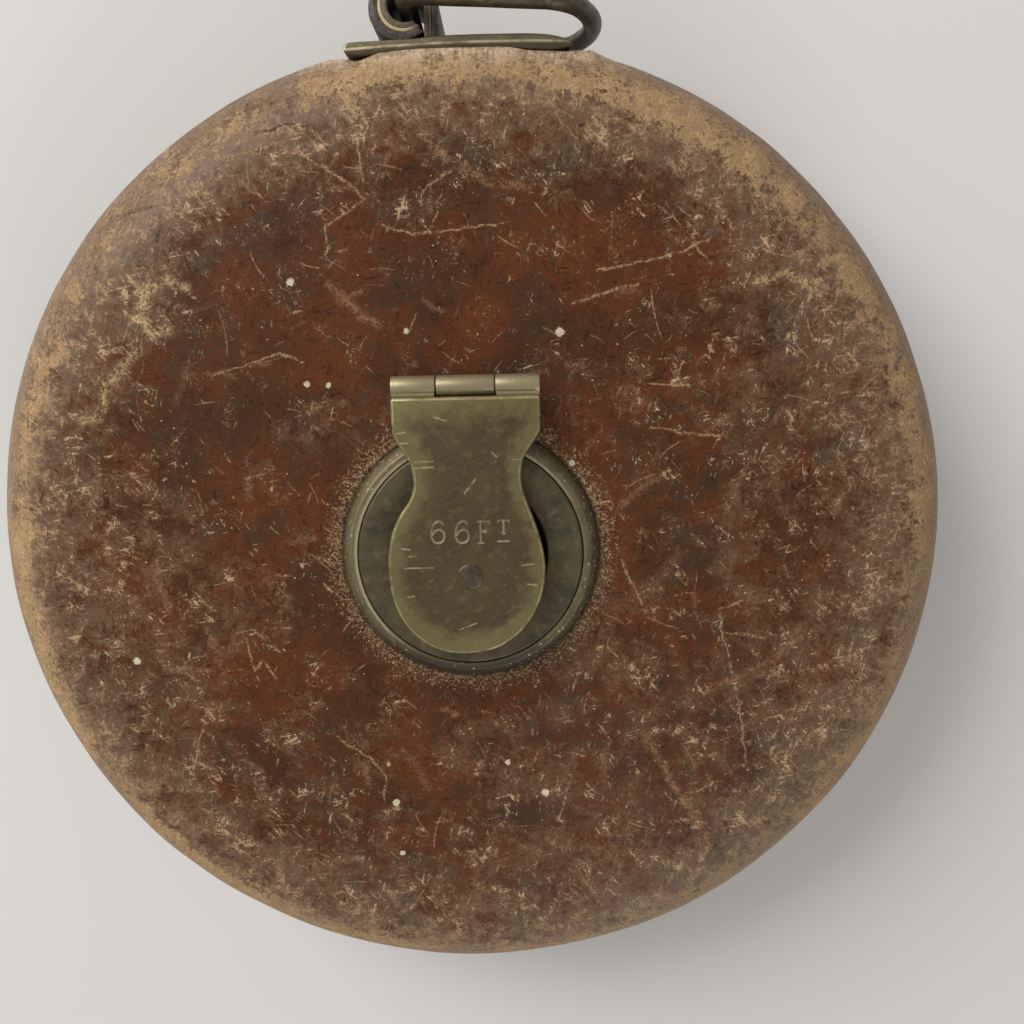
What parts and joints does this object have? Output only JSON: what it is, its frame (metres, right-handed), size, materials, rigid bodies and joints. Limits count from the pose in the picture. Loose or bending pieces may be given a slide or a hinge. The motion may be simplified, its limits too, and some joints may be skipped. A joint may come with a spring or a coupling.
{
  "type": "tape measure",
  "caption": "Round leather-cased surveyor's tape measure with a folding brass winding handle and a wire bail on the tape's end.",
  "frame": {"origin": "centre of the flat rear face of the leather case, on the drum axis", "axes": "+Z along the drum axis, from the rear face to the front with the winding handle; +Y from the drum axis out of the tape's mouth; +X to the right when the front is seen with the mouth at the top"},
  "size_m": [0.1204, 0.1272, 0.0342],
  "materials": {
    "case_leather": "varnished oxblood hide, worn pale along its edges",
    "welt_leather": "dark edge-dressed hide",
    "waxed_thread": "waxed linen thread",
    "tinned_steel": "dull tinplate",
    "plate_brass": "worn brass with an olive patina",
    "dark_brass": "brass gone dark grey-green",
    "bright_brass": "plain brass",
    "steel": "turned steel",
    "linen": "woven linen tape",
    "handle_brass": "rolled brass, olive-brown patina, pale worn edges",
    "turned_wood": "turned and polished dark hardwood",
    "strap_leather": "dark greased leather",
    "bail_bronze": "drawn brass wire, dull olive"
  },
  "bodies": {
    "case": {"front_cover": "case_leather", "rear_cover": "case_leather", "seam_welt": "welt_leather", "seam_stitching": "waxed_thread", "front_liner": "tinned_steel", "rear_liner": "tinned_steel", "mouth_plate": "plate_brass", "mouth_rivets": "plate_brass", "front_ferrule": "dark_brass", "front_washer": "bright_brass", "rear_ferrule": "dark_brass", "rear_washer": "bright_brass"},
    "drum": {"winding_cup": "dark_brass", "spindle": "steel", "drum_hub": "bright_brass", "front_cheek": "tinned_steel", "rear_cheek": "tinned_steel", "rear_journal": "dark_brass", "spindle_screw": "steel", "tape_anchor_pin": "steel", "tape_coil": "linen", "hinge_leaf": "handle_brass", "leaf_rivets": "bright_brass", "hinge_pin": "steel"},
    "handle": {"handle_flap": "handle_brass", "handle_post": "handle_brass", "knob_washer": "bright_brass"},
    "knob": {"knob": "turned_wood"},
    "tape_end": {"tape_lead": "linen", "tape_end_loop": "strap_leather"},
    "bail": {"bail": "bail_bronze"}
  },
  "joints": [
    {"name": "drum_spin", "type": "hinge", "parent": "case", "child": "drum", "pos_m": [0, 0, 0.014], "axis": [0, 0, 1], "range_deg": [0, 360]},
    {"name": "handle_fold", "type": "hinge", "parent": "drum", "child": "handle", "pos_m": [0, 0.02, 0.032], "axis": [-1, 0, 0], "range_deg": [0, 180]},
    {"name": "knob_spin", "type": "hinge", "parent": "handle", "child": "knob", "pos_m": [0, -0.002, 0.028], "axis": [0, 0, 1], "continuous": true},
    {"name": "tape_pull", "type": "slide", "parent": "case", "child": "tape_end", "axis": [0, 1, 0], "range_m": [0, 0.3431], "deforming": ["tape_lead"]},
    {"name": "bail_swing", "type": "hinge", "parent": "tape_end", "child": "bail", "pos_m": [-0.006, 0.0633, 0.014], "axis": [0, 0, 1], "range_deg": [-5, 200]}
  ],
  "couplings": [
    {"joint": "tape_pull", "follows": "drum_spin", "m_per_rad": 0.0546}
  ]
}
